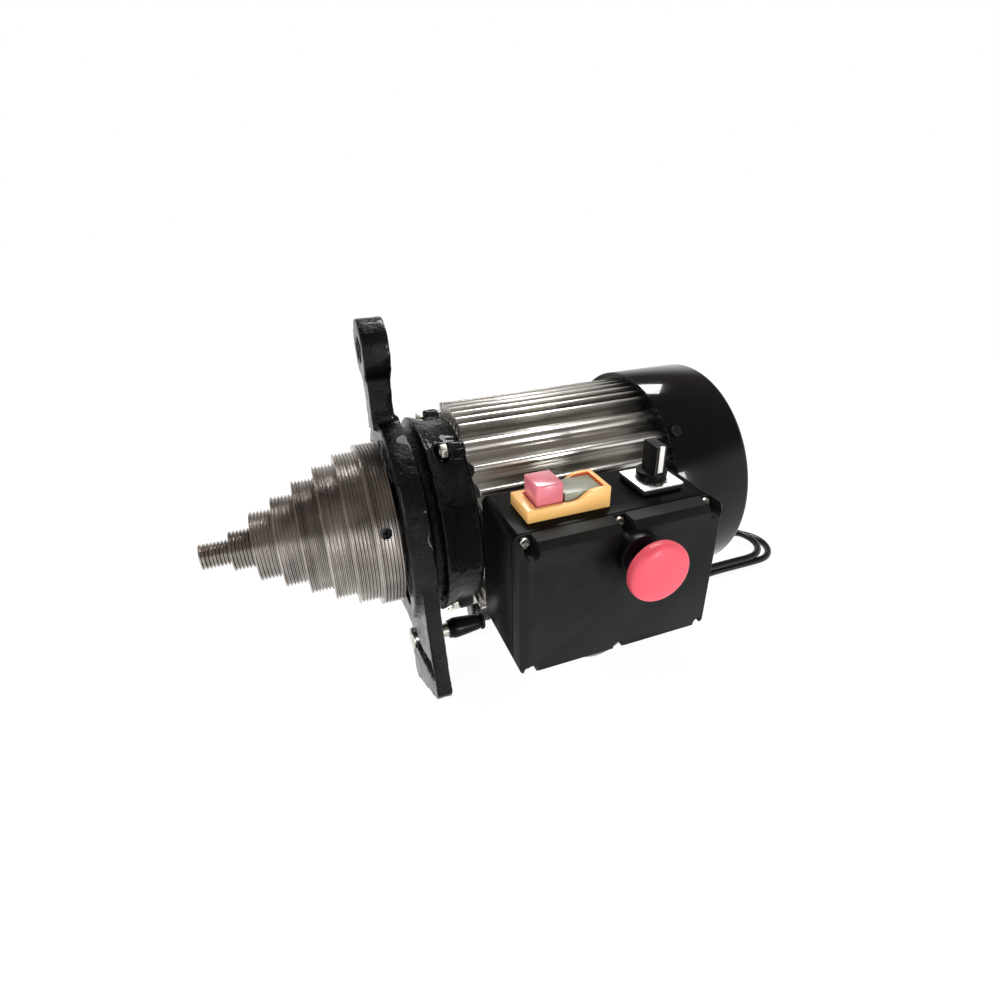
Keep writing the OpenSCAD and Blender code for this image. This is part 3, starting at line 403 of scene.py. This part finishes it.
# %% Finish: plastics
def moulded(name, base, roughness, grain=2600, depth=0.00004, coat=0.0, tint=0.12, glow=0.0,
            shine=0.45):
    f = Finish(name, Coat_Roughness=0.12, Subsurface_Weight=glow, Subsurface_Scale=0.004,
               Specular_IOR_Level=shine)
    etched, wear, cloud = f.noise(grain, 2), f.noise(70, 4), f.noise(18, 2)
    darker = tuple(v * (1 - tint) for v in base)
    lighter = tuple(min(1, v * (1 + tint) + 0.003) for v in base)
    patches = f.ramp(cloud * 0.6 + wear * 0.4, (0.3, 0), (0.7, 1))
    f.use(Base_Color=f.colour(patches, darker, lighter),
          Roughness=etched * 0.10 + wear * 0.20 + (roughness - 0.12), Coat_Weight=coat)
    f.bump(etched * 0.7 + wear * 0.3, depth)
    return f


box_black = moulded("box_black", (0.002, 0.002, 0.0025), 0.32, coat=0.03, shine=0.07).material
lid_black = moulded("lid_black", (0.011, 0.014, 0.012), 0.46, depth=0.00005, tint=0.45,
                    shine=0.2).material
knob_black = moulded("knob_black", (0.002, 0.002, 0.0025), 0.34, coat=0.08, shine=0.18).material
fan_black = moulded("fan_black", (0.015, 0.015, 0.015), 0.5, shine=0.3).material
rubber_black = moulded("rubber_black", (0.014, 0.014, 0.014), 0.55, depth=0.00006,
                       shine=0.3).material
cord_black = moulded("cord_black", (0.007, 0.007, 0.008), 0.26, grain=1200, coat=0.3,
                     shine=0.35).material
stop_red = moulded("stop_red", (0.74, 0.24, 0.29), 0.26, coat=0.5, glow=0.15).material
start_green = moulded("start_green", (0.31, 0.33, 0.26), 0.38, coat=0.2, glow=0.08).material
mushroom_red = moulded("mushroom_red", (0.76, 0.12, 0.165), 0.40, coat=0.1, glow=0.04,
                       shine=0.3).material
pure_white = moulded("white_plastic", (0.80, 0.80, 0.77), 0.40).material
ink_black = moulded("ink_black", (0.01, 0.01, 0.01), 0.6, shine=0.2).material

# %% [markdown]
# The shell of the start and stop switch is paler on the outside than in the pocket round the
# buttons. The darker, redder pocket is painted shade: it stands in for the shade in that recess
# and for light that passes through the plastic and comes out redder. Four comparisons
# multiplied together pick out that pocket.

# %% Finish: orange shell
shell = moulded("orange_shell", (0.95, 0.58, 0.22), 0.34, coat=0.25, glow=0.1)
pocket_x, pocket_y = (59 * MM, 101.9 * MM), (-142.6 * MM, -122.4 * MM)
pocket_shade = ((shell.x > pocket_x[0]) * (pocket_x[1] > shell.x)
          * (shell.y > pocket_y[0]) * (pocket_y[1] > shell.y))
wander = shell.noise(40, 3)
outside = shell.colour(wander, (0.94, 0.54, 0.19), (0.99, 0.66, 0.28))
# Painted shade: inside the pocket the base colour turns darker and redder.
shell.use(Base_Color=shell.colour(pocket_shade, outside, (0.82, 0.16, 0.03)))
orange = shell.material
print("plastics done, materials:", len(bpy.data.materials))

# %% [markdown]
# ## Who wears what
#
# Every CAD node that stays visible gets its finish here. A node's own shape is exact, so most of
# them need nothing else.

# %% Dress the CAD nodes
wears = {
    turned_steel: ["cone_pulley"],
    ground_steel: ["motor_shaft", "shaft_key"],
    laminations: ["rotor_core", "stator_core"],
    raw_aluminium: ["rotor_cage"],
    nickel: ["front_bearing", "rear_bearing", "wave_washer", "plug_pins"],
    rubber_black: ["shaft_seal", "lid_gasket", "selector_gasket", "lead_grommet"],
    black_casting: ["mounting_bracket", "rear_end_shield"],
    black_shield: ["drive_end_shield"],
    black_oxide: ["pulley_set_screws", "bracket_screws", "cowl_screws", "pivot_bush"],
    extrusion: ["motor_housing", "cooling_fins"],
    copper: ["stator_windings"],
    zinc: ["tie_bolts", "lid_screws", "box_mount_screws", "estop_locknut", "clamp_stud",
           "clamp_washer"],
    gloss_black: ["fan_cowl"],
    box_black: ["switch_box_base", "button_contactor", "selector_switch_body",
                "estop_contact_block"],
    lid_black: ["switch_box_lid"],
    pure_white: ["run_capacitor", "terminal_block", "selector_pointer"],
    orange: ["start_stop_housing"],
    stop_red: ["stop_button"],
    start_green: ["start_button"],
    plate_metal: ["selector_plate"],
    knob_black: ["selector_knob", "estop_collar", "estop_stem", "clamp_grip", "mains_gland"],
    mushroom_red: ["estop_mushroom"],
    cord_black: ["strain_relief", "mains_cord", "cord_coil", "plug_body"],
    fan_black: ["cooling_fan", "cord_tie"],
}
for finish, names in wears.items():
    for name in names:
        slots = nodes[name].material_slots
        if slots:
            slots[0].material = finish
        else:
            nodes[name].data.materials.append(finish)
mains_lead.data.materials.append(cord_black)
print("dressed", sum(map(len, wears.values())), "nodes of", len(nodes))

# %% [markdown]
# ## Making new pieces
#
# A new piece starts as a bmesh, Blender's editable mesh, which operators shape step by step.
# This helper turns the finished bmesh into an object, smooths what should look round, keeps
# what should look sharp, says which body it rides on and hides the CAD node it takes the place of.

# %% Helpers for new pieces
scene_objects = bpy.context.scene.collection.objects


def finished(mesh_in_work, name, finish, body, node=None, slot=None, sharp=35):
    mesh = bpy.data.meshes.new(name)
    mesh_in_work.to_mesh(mesh)
    mesh_in_work.free()
    for polygon in mesh.polygons:
        polygon.use_smooth = True
    mesh.set_sharp_from_angle(angle=math.radians(sharp))
    mesh.materials.clear()
    mesh.materials.append(finish)
    piece = bpy.data.objects.new(name, mesh)
    scene_objects.link(piece)
    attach(piece, body)
    if node:
        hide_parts(node)
    return piece


def body_of(node):
    bodies = frame["record"]["behaviour"]["bodies"]
    return next(body for body, members in bodies.items() if node in members)


def slot_of(node):
    return next(s["material_slot"] for s in frame["record"]["subparts"] if s["node"] == node)


def copy_of(node):
    """The CAD node's own shape as a bmesh, with its corners joined up."""
    work = bmesh.new()
    work.from_mesh(nodes[node].data)
    bmesh.ops.remove_doubles(work, verts=work.verts, dist=0.002 * MM)
    return work


def softened(node, width, finish):
    """The node again with its sharp edges rounded off, as a mould or a file leaves them."""
    least = math.radians(30)
    work = copy_of(node)
    bmesh.ops.dissolve_limit(work, angle_limit=math.radians(0.5), verts=work.verts,
                             edges=work.edges)
    sharp = [e for e in work.edges
             if len(e.link_faces) == 2 and least < e.calc_face_angle(0) < math.pi]
    bmesh.ops.bevel(work, geom=sharp, offset=width, offset_type="OFFSET", affect="EDGES",
                    segments=2, profile=0.5, material=-1, clamp_overlap=True)
    return finished(work, "soft_" + node, finish, body_of(node), node, slot_of(node))


print(body_of("cone_pulley"), slot_of("cone_pulley"))

# %% [markdown]
# ## Soft edges on hard parts
#
# Nothing made by a machine has a perfectly sharp edge, and a bright line along each edge is
# what tells the eye how big and how hard a thing is. Copying the CAD shape and bevelling only
# its sharp edges keeps every size and adds that line.

# %% Soften the edges
for node, width, finish in (
        ("cooling_fins", 0.35 * MM, extrusion), ("motor_housing", 0.3 * MM, extrusion),
        ("fan_cowl", 0.3 * MM, gloss_black), ("cord_tie", 0.7 * MM, fan_black),
        ("estop_collar", 0.6 * MM, knob_black), ("pivot_bush", 0.3 * MM, black_oxide),
        ("switch_box_base", 0.5 * MM, box_black), ("switch_box_lid", 0.45 * MM, lid_black),
        ("selector_plate", 0.2 * MM, plate_metal), ("selector_knob", 0.7 * MM, knob_black),
        ("selector_pointer", 0.25 * MM, pure_white), ("start_stop_housing", 0.5 * MM, orange),
        ("stop_button", 1.0 * MM, stop_red), ("start_button", 0.6 * MM, start_green),
        ("tie_bolts", 0.3 * MM, zinc), ("lid_screws", 0.15 * MM, zinc),
        ("cowl_screws", 0.2 * MM, black_oxide), ("clamp_washer", 0.3 * MM, zinc),
        ("mains_gland", 0.4 * MM, knob_black), ("selector_gasket", 0.4 * MM, rubber_black)):
    made = softened(node, width, finish)
    print(made.name, len(made.data.polygons), "faces")

# %% [markdown]
# ## Lumpy castings
#
# Sand leaves a casting with rounded edges and a skin of low lumps. Rebuilding the shape from
# small cubes, called voxel remeshing, gives an even mesh to work on. Smoothing that mesh rounds
# every edge at once, and moving each point in or out by a smooth noise adds the lumps. Lumps
# only go inwards here, so that the part keeps its size.

# %% Cast bracket and end shield
def cast(node, voxel, rounds, lump, depth, finish):
    """The node rebuilt from cubes of a size, smoothed some rounds, then dented by lumps."""
    fine_share, elsewhere = 0.37, Vector((7, 3, 1))
    mesh = bpy.data.meshes.new(node)
    work = copy_of(node)
    work.to_mesh(mesh)
    work.free()
    rough = bpy.data.objects.new(node + "_voxels", mesh)
    scene_objects.link(rough)
    remesh = rough.modifiers.new("voxels", "REMESH")
    remesh.mode, remesh.voxel_size = "VOXEL", voxel
    evaluated = rough.evaluated_get(bpy.context.evaluated_depsgraph_get())
    work = bmesh.new()
    work.from_mesh(evaluated.to_mesh())
    evaluated.to_mesh_clear()
    bpy.data.objects.remove(rough)
    for _ in range(rounds):
        bmesh.ops.smooth_vert(work, verts=work.verts, factor=0.5,
                              use_axis_x=True, use_axis_y=True, use_axis_z=True)
    work.normal_update()
    for vert in work.verts:
        big = noise.noise(vert.co / lump)
        small = noise.noise(vert.co / (fine_share * lump) + elsewhere)
        vert.co -= vert.normal * depth * (0.5 + 0.35 * big + 0.15 * small)
    return finished(work, "cast_" + node, finish, body_of(node), node, slot_of(node), sharp=70)


for casting in (cast("mounting_bracket", 1.3 * MM, 4, 8 * MM, 1.0 * MM, black_casting),
                cast("drive_end_shield", 1.3 * MM, 3, 5 * MM, 1.2 * MM, black_shield)):
    print(casting.name, len(casting.data.polygons), "faces")

# %% [markdown]
# ## Round pieces on a lathe
#
# A knob, a plug or a grip is half a drawing turned once round its axis. The drawing starts as a
# few corner points. Cutting every corner off at a quarter and three quarters of each side, two
# or three times over, leaves a smooth curve that never pokes outside the first outline.

# %% Turned pieces
def rounded(points, times):
    """Chaikin's corner cutting, with both ends kept."""
    for _ in range(times):
        cut = [points[0]]
        for (a0, r0), (a1, r1) in zip(points, points[1:]):
            cut += [(a0 * 0.75 + a1 * 0.25, r0 * 0.75 + r1 * 0.25),
                    (a0 * 0.25 + a1 * 0.75, r0 * 0.25 + r1 * 0.75)]
        points = cut + [points[-1]]
    return points


def spun(node, drawing, centre, axis, finish, sharp=40):
    """A drawing of (distance along the axis, radius) in millimetres, turned round the axis."""
    axis = Vector(axis)
    side = axis.orthogonal().normalized()
    centre = Vector(centre) * MM
    work = bmesh.new()
    rim = [work.verts.new(centre + axis * (along * MM) + side * (radius * MM))
           for along, radius in drawing]
    edges = [work.edges.new(pair) for pair in zip(rim, rim[1:])]
    bmesh.ops.spin(work, geom=rim + edges, cent=centre, axis=axis, dvec=(0, 0, 0),
                   angle=2 * math.pi, steps=72, use_merge=True)
    bmesh.ops.remove_doubles(work, verts=work.verts, dist=0.001 * MM)
    bmesh.ops.recalc_face_normals(work, faces=work.faces)
    return finished(work, "turned_" + node, finish, body_of(node), node, slot_of(node), sharp)


estop = (111, -168, -88.8)
mushroom = spun("estop_mushroom", rounded(
    [(-7, 0), (-7, 3.2), (14, 3.2), (14.3, 11.5), (17.3, 17.9), (19.3, 18.5), (22.3, 18.5),
     (24.2, 17.2), (25.4, 14.2), (26.5, 6), (26.7, 0)], 3), estop, (0, -1, 0), mushroom_red)
stem = spun("estop_stem", [(-23, 0), (-23, 5.5), (14, 5.5), (14, 3.5), (6, 3.5)], estop,
            (0, -1, 0), knob_black)

slot_r, clamp_lean = 228.5, math.radians(9)
clamp_at = (0, -slot_r * math.sin(clamp_lean), -slot_r * math.cos(clamp_lean))
grip = spun("clamp_grip", [(28, 5.9), (28, 7.2)] + rounded(
    [(28, 7.2), (31, 7.8), (32, 8.4), (36, 8.4), (52, 6.6), (54, 6.3), (54.3, 5.5), (55.2, 5.5),
     (55.5, 7.2), (58, 7.2), (59, 5.5), (59, 0)], 2), clamp_at, (1, 0, 0), knob_black)
crest, root = 5.75, 5.3
threads = [(x / 4, crest if x % 4 in (0, 1) else root) for x in range(54, 113)]
stud = spun("clamp_stud", [(-2.8, 0), (-2.8, 7.9), (-2.3, 8.5), (-0.8, 8.5), (-0.3, 8),
                           (-0.3, 5.8), (13, 5.8)] + threads + [(38, 5.6), (38, 0)],
            clamp_at, (1, 0, 0), zinc, sharp=60)

plug_end = (104, 24.5, -262.5)
ribs = [(along, 14 if i % 2 else 13.2) for i, along in enumerate(range(22, 37, 2))]
plug = spun("plug_body", [(0, 0)] + rounded(
    [(0, 0.1), (0, 4.8), (2, 5), (8, 6.4), (20, 11.9)] + ribs
    + [(38, 13.9), (40, 12), (40, 0)], 2), plug_end, (-1, 0, 0), cord_black)
for piece in (mushroom, stem, grip, stud, plug):
    print(piece.name, len(piece.data.polygons), "faces")

# %% [markdown]
# ## The strain relief
#
# Where the lead leaves the gland, a ribbed sleeve stops it from kinking. It is a chain of rings
# threaded on the lead's line, alternately wide and narrow, and skinned from ring to ring.

# %% Ribbed sleeve
def threaded(points, radii, sides=24):
    """A closed tube through the points, each ring square to the way the line runs there."""
    work = bmesh.new()
    rings = []
    for i, (point, radius) in enumerate(zip(points, radii)):
        way = (points[min(i + 1, len(points) - 1)] - points[max(i - 1, 0)]).normalized()
        u = way.cross(Vector((0, 1, 0))).normalized()
        v = way.cross(u)
        rings.append([work.verts.new(point + radius * (u * math.cos(a) + v * math.sin(a)))
                      for a in (2 * math.pi * k / sides for k in range(sides))])
    for one, two in zip(rings, rings[1:]):
        for k in range(sides):
            work.faces.new((one[k], one[(k + 1) % sides], two[(k + 1) % sides], two[k]))
    work.faces.new(rings[0][::-1])
    work.faces.new(rings[-1])
    bmesh.ops.recalc_face_normals(work, faces=work.faces)
    return work


bend = [relief_top + Vector(p) * MM for p in (
    (0, 0, 0), (0.5, 0.5, -6.5), (2.5, 2.5, -13.5), (6.5, 6, -20), (12, 11, -25.5))]
rings_each = 8
sleeve = [one.lerp(two, k / rings_each) for one, two in zip(bend, bend[1:])
          for k in range(rings_each)] + [bend[-1]]
steps = len(sleeve) - 1
groove = 0.9
widths = [MM * ((6.4 - 2 * i / steps) - (groove if 3 < i < 29 and i % 4 in (0, 1) else 0))
          for i in range(len(sleeve))]
finished(threaded(sleeve, widths), "ribbed_relief", cord_black, "frame", "strain_relief",
         slot_of("strain_relief"), sharp=50)

# %% [markdown]
# ## Marks round the selector
#
# Five short printed bars show where the selector stops. They are a twentieth of a millimetre
# thick, so they sit on the plate without floating.

# %% Tick marks
plate_centre = Vector((143, -128.5, -65.47)) * MM
mark_out, mark_size = Vector((11.6, 0, 0)) * MM, Vector((2.4, 0.7, 0.06)) * MM
marks = bmesh.new()
for angle in (-135, -112.5, -90, -67.5, -45):
    placed = (Matrix.Translation(plate_centre) @ Matrix.Rotation(math.radians(angle), 4, "Z")
              @ Matrix.Translation(mark_out) @ Matrix.Diagonal(mark_size).to_4x4())
    bmesh.ops.create_cube(marks, size=1, matrix=placed)
finished(marks, "selector_marks", ink_black, "frame", slot="brushed_plate")

# %% [markdown]
# ## Floor and light
#
# A plain pale floor and a sky that is bright at the horizon and dim overhead give the look of a
# studio. Glossy and metal parts mirror that sky, so it is the dark half that makes them look
# solid. Three soft lamps add the bright reflections that show how round the cowl is. The view
# settings then deepen the middle tones a little, as a catalogue picture does.

# %% Floor
floor_gap = 0.05 * MM
work = bmesh.new()
bmesh.ops.create_grid(work, x_segments=1, y_segments=1, size=6)
bmesh.ops.translate(work, verts=work.verts, vec=(0, 0, bench_z - floor_gap))
floor_mesh = bpy.data.meshes.new("floor")
work.to_mesh(floor_mesh)
work.free()
floor = bpy.data.objects.new("floor", floor_mesh)
scene_objects.link(floor)
paper = Finish("paper")
paper.use(Base_Color=paper.colour(paper.noise(3, 2), (0.12, 0.12, 0.12), (0.13, 0.13, 0.13)),
          Roughness=0.9, Emission_Color=(1.0, 1.0, 1.0), Emission_Strength=0.93)
floor_mesh.materials.append(paper.material)

# %% World and lamps
world = bpy.data.worlds.new("studio")
world.use_nodes = True
sky = world.node_tree
backdrop = sky.nodes["Background"]
way_out = sky.nodes.new("ShaderNodeTexCoord")
split = sky.nodes.new("ShaderNodeSeparateXYZ")
shade = sky.nodes.new("ShaderNodeValToRGB")
for stop, height, glow in zip(shade.color_ramp.elements, (0.26, 0.5),
                              ((1, 1, 1, 1), (0.26, 0.23, 0.21, 1))):
    stop.position, stop.color = height, glow
sky.links.new(way_out.outputs["Generated"], split.inputs[0])
sky.links.new(split.outputs["Z"], shade.inputs[0])
sky.links.new(shade.outputs[0], backdrop.inputs["Color"])
bpy.context.scene.world = world


def lamp(name, place, target, size, power):
    data = bpy.data.lights.new(name, "AREA")
    data.shape, data.size, data.size_y, data.energy = "RECTANGLE", size[0], size[1], power
    made = bpy.data.objects.new(name, data)
    made.location = place
    made.rotation_mode = "QUATERNION"
    made.rotation_quaternion = (Vector(target) - Vector(place)).to_track_quat("-Z", "Y")
    scene_objects.link(made)


lamp("over", (0.34, 0.42, 0.70), (0.16, 0, -0.08), (0.5, 0.25), 7)
lamp("key", (-0.85, -0.55, 0.50), (0.0, 0, -0.12), (0.35, 0.6), 4)
lamp("spark", (0.42, -1.1, 0.02), (0.05, -0.1, -0.15), (0.14, 0.5), 5)
bpy.context.scene.view_settings.view_transform = "Standard"
bpy.context.scene.view_settings.gamma = 0.85
